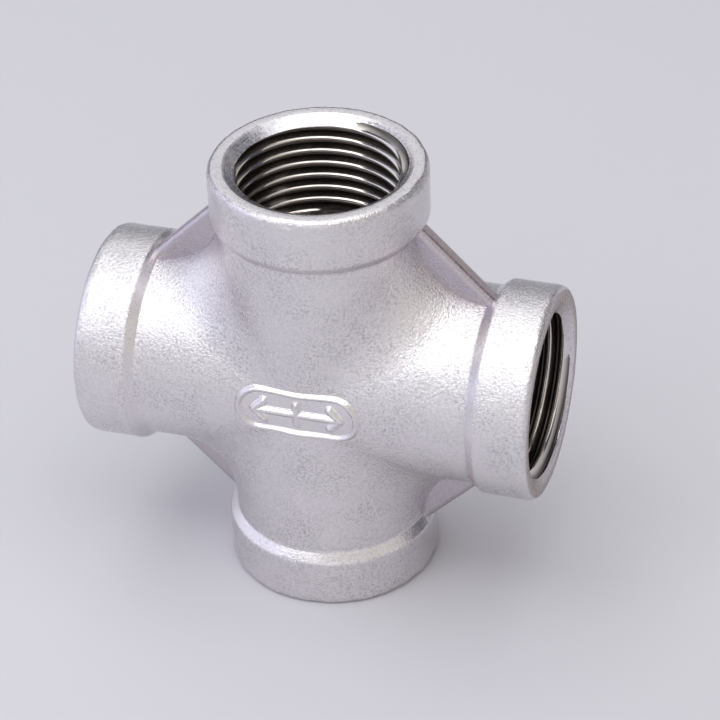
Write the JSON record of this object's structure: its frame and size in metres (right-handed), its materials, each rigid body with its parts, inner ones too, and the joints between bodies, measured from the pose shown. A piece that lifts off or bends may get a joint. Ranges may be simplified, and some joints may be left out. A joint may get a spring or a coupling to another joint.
{
  "type": "cross fitting",
  "caption": "Pipe cross with four banded, internally threaded ends at right angles, flat corner webs and a raised oval with a plain flow mark.",
  "frame": {"origin": "the point where the axes of the two runs cross", "axes": "+X along the horizontal run, +Z along the vertical run, -Y towards the face with the raised oval"},
  "size_m": [0.044, 0.0204, 0.044],
  "materials": {
    "cast_stainless": "shot-blasted satin, with machined end faces",
    "machined_thread": "bright machined"
  },
  "bodies": {
    "root": {"crossing_body": "cast_stainless", "top_band": "cast_stainless", "right_band": "cast_stainless", "bottom_band": "cast_stainless", "left_band": "cast_stainless", "top_thread": "machined_thread", "right_thread": "machined_thread", "bottom_thread": "machined_thread", "left_thread": "machined_thread", "top_right_web": "cast_stainless", "bottom_right_web": "cast_stainless", "bottom_left_web": "cast_stainless", "top_left_web": "cast_stainless", "oval_rim": "cast_stainless", "flow_mark": "cast_stainless"}
  },
  "joints": []
}
